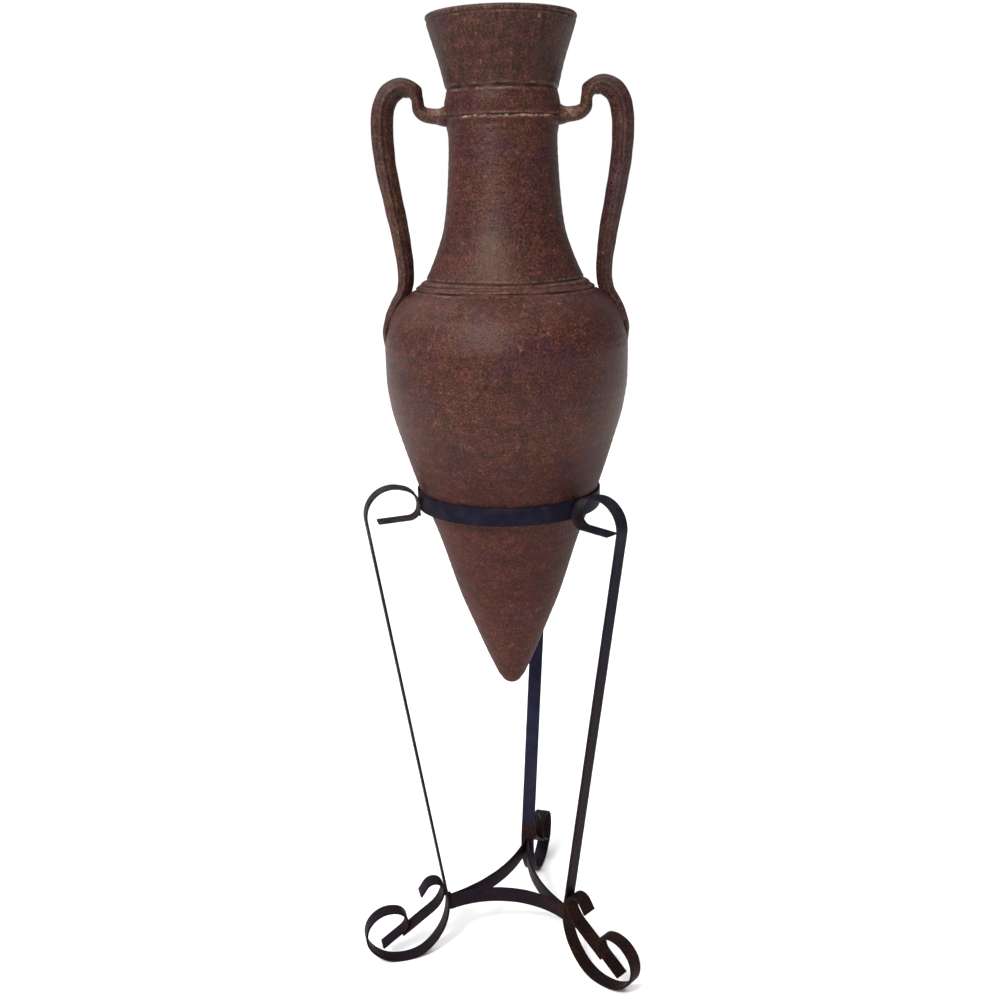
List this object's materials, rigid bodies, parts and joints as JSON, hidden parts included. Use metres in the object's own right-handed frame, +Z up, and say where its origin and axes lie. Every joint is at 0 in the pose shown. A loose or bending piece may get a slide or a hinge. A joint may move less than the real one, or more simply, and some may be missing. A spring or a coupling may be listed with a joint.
{
  "type": "amphora planter on stand",
  "caption": "Tall clay amphora with a pointed base, flared cup mouth and looped side handles, held upright in the ring of a scrolled flat-bar iron tripod stand.",
  "frame": {"origin": "on the ground, under the middle of the object's box", "axes": "+Z up; +Y to the back, where the rear leg stands; the handles point along +X and -X"},
  "size_m": [0.3124, 0.3192, 1.0305],
  "materials": {
    "fired_clay": "matt unglazed brown clay, finely mottled",
    "black_iron": "satin black painted wrought iron, lightly rusted",
    "weld_iron": "weld bead under black paint, rust showing"
  },
  "bodies": {
    "stand": {"support_ring": "black_iron", "leg_right": "black_iron", "leg_left": "black_iron", "leg_rear": "black_iron", "brace_right": "black_iron", "brace_left": "black_iron", "brace_rear": "black_iron", "tie_front": "black_iron", "tie_side_right": "black_iron", "tie_side_left": "black_iron", "ring_weld_right": "weld_iron", "ring_weld_left": "weld_iron", "ring_weld_rear": "weld_iron", "hook_weld_right": "weld_iron", "hook_weld_left": "weld_iron", "hook_weld_rear": "weld_iron", "tie_weld_right": "weld_iron", "tie_weld_left": "weld_iron", "tie_weld_rear": "weld_iron", "foot_weld_right": "weld_iron", "foot_weld_left": "weld_iron", "foot_weld_rear": "weld_iron"},
    "urn": {"urn_body": "fired_clay", "urn_neck": "fired_clay", "neck_collar": "fired_clay", "shoulder_cordon": "fired_clay", "handle_left": "fired_clay", "handle_right": "fired_clay"}
  },
  "joints": [
    {"name": "urn_lift", "type": "slide", "parent": "stand", "child": "urn", "axis": [0, 0, 1], "range_m": [0, 0.25]}
  ]
}
